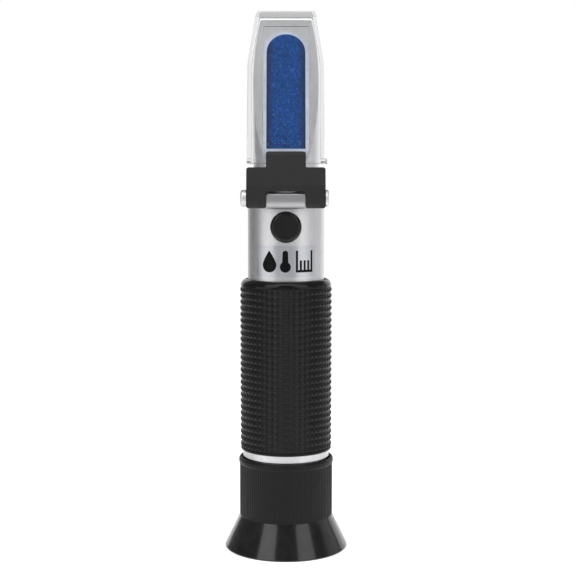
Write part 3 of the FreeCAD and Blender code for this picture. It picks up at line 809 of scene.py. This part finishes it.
class REFRACTO_OT_label(PieceOperator):
    """Print a drop, a thermometer and a short scale on the foil label"""

    bl_idname = "refracto.label"
    bl_label = "Label signs"

    def execute(self, context):
        settings = context.scene.refracto_label
        low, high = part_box("body_label")
        surface = -low.y
        middle = (low.z + high.z) / 2
        tall = settings.sign_height
        bottom = middle - tall / 2
        drop = settings.drop_radius
        drop_place = -5.5 * MM
        thermometer_place = -0.2 * MM
        bulb, stem = 1.75 * MM, 0.95 * MM
        shapes = [
            drop_columns(drop_place, bottom + drop, drop, tall),
            thermometer_columns(thermometer_place, bottom, tall, bulb, stem),
        ]
        bar, gap = settings.tick, settings.tick_gap
        scale_left = 3.2 * MM
        ticks = 5
        short_share = 0.55
        for i in range(ticks):
            reach = tall if i in (0, ticks - 1) else tall * short_share
            left = scale_left + i * (bar + gap)
            shapes.append([(left, bottom, bottom + reach), (left + bar, bottom, bottom + reach)])
        scale_length = ticks * bar + (ticks - 1) * gap
        foot_height = bar * 1.1
        foot_steps = 10
        foot = [scale_left + scale_length * i / foot_steps for i in range(foot_steps + 1)]
        shapes.append([(around, bottom, bottom + foot_height) for around in foot])
        sunk = 0.01 * MM
        shell = bmesh.new()
        for columns in shapes:
            curved_patch(shell, columns, surface - sunk, surface + settings.ink)
        bmesh.ops.recalc_face_normals(shell, faces=shell.faces)
        mesh = bpy.data.meshes.new("label_signs")
        shell.to_mesh(mesh)
        shell.free()
        ink = moulded(
            "label_ink", (0.002, 0.002, 0.002), (0.005, 0.005, 0.005),
            roughness=0.5, grain=2600, depth=0.000004, shine=0.1,
        )
        add_piece("label_signs", mesh, ink, "barrel")
        return {"FINISHED"}


class REFRACTO_OT_finishes(PieceOperator):
    """Give the carried-over solids the finish of their slot, and the reticle its scale"""

    bl_idname = "refracto.finishes"
    bl_label = "Finishes"

    def execute(self, context):
        colours = context.scene.refracto_colours
        # Colour, darker colour, roughness, stretch of the grain, depth of the grain
        metals = {
            "bright_steel": ((0.78, 0.78, 0.79), (0.7, 0.7, 0.71), 0.5, (0.4, 1, 1), 0.00001),
            "tube_metal": ((0.5, 0.5, 0.51), (0.42, 0.42, 0.43), 0.35, (1, 1, 6), 0.00002),
            "black_metal": ((0.03, 0.03, 0.031), (0.02, 0.02, 0.02), 0.5, (1, 1, 6), 0.00001),
            "strip_metal": ((0.6, 0.55, 0.45), (0.5, 0.45, 0.36), 0.3, (1, 1, 0.1), 0.00001),
            "brass_part": ((0.72, 0.5, 0.2), (0.6, 0.4, 0.15), 0.28, (1, 0.1, 1), 0.00001),
            "label_foil": ((0.585, 0.6, 0.63), (0.54, 0.555, 0.585), 0.36, (1, 1, 0.3), 0.000004),
        }
        # Colour, lighter colour, roughness, grain, depth of the grain and, where there is one, the coat
        mouldings = {
            "pale_seal": (tuple(colours.seal), (0.68, 0.73, 0.84), 0.35, 1500, 0.00001, 0.4),
            "black_rubber": ((0.004, 0.004, 0.004), (0.007, 0.007, 0.007), 0.3, 3000, 0.000004),
            "cup_rubber": (tuple(colours.cup), (0.011, 0.011, 0.012), 0.22, 900, 0.000008, 0.5),
        }
        finishes = {
            "satin_metal": satin_finish("satin_metal", tuple(colours.metal), (0.52, 0.52, 0.53)),
            "blue_glass": blue_prism_finish(colours),
            "lens_glass": clear("lens_glass", (0.93, 0.96, 0.99), roughness=0.0, index=1.52),
        }
        finishes.update({name: metal(name, *look) for name, look in metals.items()})
        finishes.update({name: moulded(name, *look) for name, look in mouldings.items()})
        for entry in frame["record"]["subparts"]:
            node = frame["nodes"][entry["node"]]
            finish = finishes.get(entry["material_slot"])
            if finish and not node.hide_render:
                for slot in node.material_slots:
                    slot.material = finish
        for slot in frame["nodes"]["reticle"].material_slots:
            slot.material = reticle_finish()
        return {"FINISHED"}


# ---- Stage ----

def area_light(name, azimuth, elevation, distance, width, height, power, aim):
    """Rectangular softbox that faces a point, placed by its angles from the front."""
    data = bpy.data.lights.new(name, "AREA")
    data.shape = "RECTANGLE"
    data.size = width
    data.size_y = height
    data.energy = power
    light = bpy.data.objects.new(name, data)
    flat = distance * math.cos(elevation)
    light.location = aim + Vector((
        flat * math.sin(azimuth), -flat * math.cos(azimuth), distance * math.sin(elevation)
    ))
    light.rotation_euler = (aim - light.location).to_track_quat("-Z", "Y").to_euler()
    bpy.context.scene.collection.objects.link(light)


def studio_world():
    """White backdrop seen straight, and a soft grey room for reflections.

    Clear plastic shows most of the backdrop, and little of it once a ray has also been reflected.
    """
    world = bpy.data.worlds.new("studio")
    world.use_nodes = True
    bpy.context.scene.world = world
    tree = world.node_tree
    tree.nodes.clear()
    output = tree.nodes.new("ShaderNodeOutputWorld")
    choose = tree.nodes.new("ShaderNodeMixShader")
    seen = tree.nodes.new("ShaderNodeLightPath")
    white = tree.nodes.new("ShaderNodeBackground")
    white.inputs["Color"].default_value = (1, 1, 1, 1)
    room = tree.nodes.new("ShaderNodeBackground")
    room.inputs["Color"].default_value = (0.2, 0.2, 0.205, 1)
    straight = tree.nodes.new("ShaderNodeMapRange")
    straight.inputs["To Min"].default_value = 0.8
    straight.inputs["To Max"].default_value = 0.2
    tree.links.new(seen.outputs["Glossy Depth"], straight.inputs["Value"])
    through = tree.nodes.new("ShaderNodeMath")
    through.operation = "MULTIPLY_ADD"
    through.use_clamp = True
    tree.links.new(seen.outputs["Is Transmission Ray"], through.inputs[0])
    tree.links.new(straight.outputs[0], through.inputs[1])
    tree.links.new(seen.outputs["Is Camera Ray"], through.inputs[2])
    tree.links.new(through.outputs[0], choose.inputs[0])
    tree.links.new(room.outputs[0], choose.inputs[1])
    tree.links.new(white.outputs[0], choose.inputs[2])
    tree.links.new(choose.outputs[0], output.inputs[0])


def floor_material(radius):
    """Pale floor that fades out into the backdrop."""
    material = bpy.data.materials.new("pale_floor")
    material.use_nodes = True
    tree = material.node_tree
    shader = tree.nodes["Principled BSDF"]
    shader.inputs["Base Color"].default_value = (0.93, 0.93, 0.93, 1)
    shader.inputs["Roughness"].default_value = 0.7
    shader.inputs["Emission Color"].default_value = (1, 1, 1, 1)
    shader.inputs["Emission Strength"].default_value = 0.62
    clear_part = tree.nodes.new("ShaderNodeBsdfTransparent")
    choose = tree.nodes.new("ShaderNodeMixShader")
    place = tree.nodes.new("ShaderNodeTexCoord")
    size = tree.nodes.new("ShaderNodeVectorMath")
    size.operation = "LENGTH"
    fade = tree.nodes.new("ShaderNodeMapRange")
    fade.inputs["From Min"].default_value = radius * 0.25
    fade.inputs["From Max"].default_value = radius * 0.95
    tree.links.new(place.outputs["Object"], size.inputs[0])
    tree.links.new(size.outputs["Value"], fade.inputs["Value"])
    tree.links.new(fade.outputs[0], choose.inputs[0])
    tree.links.new(shader.outputs[0], choose.inputs[1])
    tree.links.new(clear_part.outputs[0], choose.inputs[2])
    tree.links.new(choose.outputs[0], tree.nodes["Material Output"].inputs["Surface"])
    return material


class REFRACTO_OT_stage(PieceOperator):
    """Set up the floor, the soft studio light and the camera"""

    bl_idname = "refracto.stage"
    bl_label = "Stage"

    def execute(self, context):
        settings = context.scene.refracto_stage
        scene = context.scene
        scene.view_settings.view_transform = "Standard"
        studio_world()
        floor_mesh = bpy.data.meshes.new("floor")
        shell = bmesh.new()
        bmesh.ops.create_circle(shell, cap_ends=True, radius=FLOOR_RADIUS, segments=96)
        shell.to_mesh(floor_mesh)
        shell.free()
        floor_mesh.materials.append(floor_material(FLOOR_RADIUS))
        floor = bpy.data.objects.new("floor", floor_mesh)
        scene.collection.objects.link(floor)
        aim = Vector((0, 0, LIGHT_AIM))
        for name, azimuth, elevation, distance, width, height, power in LIGHTS:
            angles = (math.radians(azimuth), math.radians(elevation))
            area_light(name, *angles, distance, width, height, power, aim)
        data = bpy.data.cameras.new("camera")
        data.lens = settings.lens
        data.sensor_width = 36.0
        data.clip_start = 0.01
        camera = bpy.data.objects.new("camera", data)
        target = Vector((settings.look_side, 0, settings.look_height))
        away = Vector((0, -math.cos(settings.pitch), math.sin(settings.pitch)))
        camera.location = target + away * settings.distance
        camera.rotation_euler = (math.radians(90) - settings.pitch, 0, 0)
        scene.collection.objects.link(camera)
        scene.camera = camera
        return {"FINISHED"}


class REFRACTO_PT_panel(bpy.types.Panel):
    """Sidebar list of the build steps"""

    bl_label = "Refractometer"
    bl_idname = "REFRACTO_PT_panel"
    bl_space_type = "VIEW_3D"
    bl_region_type = "UI"
    bl_category = "Refractometer"

    def draw(self, context):
        for operator in OPERATORS:
            self.layout.operator(operator.bl_idname)
        for group in SETTINGS:
            box = self.layout.box()
            values = getattr(context.scene, group)
            for name in values.bl_rna.properties.keys():
                if name not in {"rna_type", "name"}:
                    box.prop(values, name)


SETTINGS = {
    "refracto_colours": RefractometerColours,
    "refracto_grip": GripSettings,
    "refracto_focus": FocusSettings,
    "refracto_edges": EdgeSettings,
    "refracto_label": LabelSettings,
    "refracto_stage": StageSettings,
}
OPERATORS = (
    REFRACTO_OT_stage,
    REFRACTO_OT_grip,
    REFRACTO_OT_focus_ring,
    REFRACTO_OT_flap,
    REFRACTO_OT_plug,
    REFRACTO_OT_label,
    REFRACTO_OT_finishes,
)


def register():
    for group, kind in SETTINGS.items():
        bpy.utils.register_class(kind)
        setattr(bpy.types.Scene, group, PointerProperty(type=kind))
    for operator in OPERATORS:
        bpy.utils.register_class(operator)
    bpy.utils.register_class(REFRACTO_PT_panel)


def unregister():
    bpy.utils.unregister_class(REFRACTO_PT_panel)
    for operator in reversed(OPERATORS):
        bpy.utils.unregister_class(operator)
    for group, kind in reversed(SETTINGS.items()):
        delattr(bpy.types.Scene, group)
        bpy.utils.unregister_class(kind)


def main():
    register()
    bpy.ops.refracto.stage()
    bpy.ops.refracto.grip()
    bpy.ops.refracto.focus_ring()
    bpy.ops.refracto.flap()
    bpy.ops.refracto.plug()
    bpy.ops.refracto.label()
    bpy.ops.refracto.finishes()


if __name__ == "__main__":
    main()
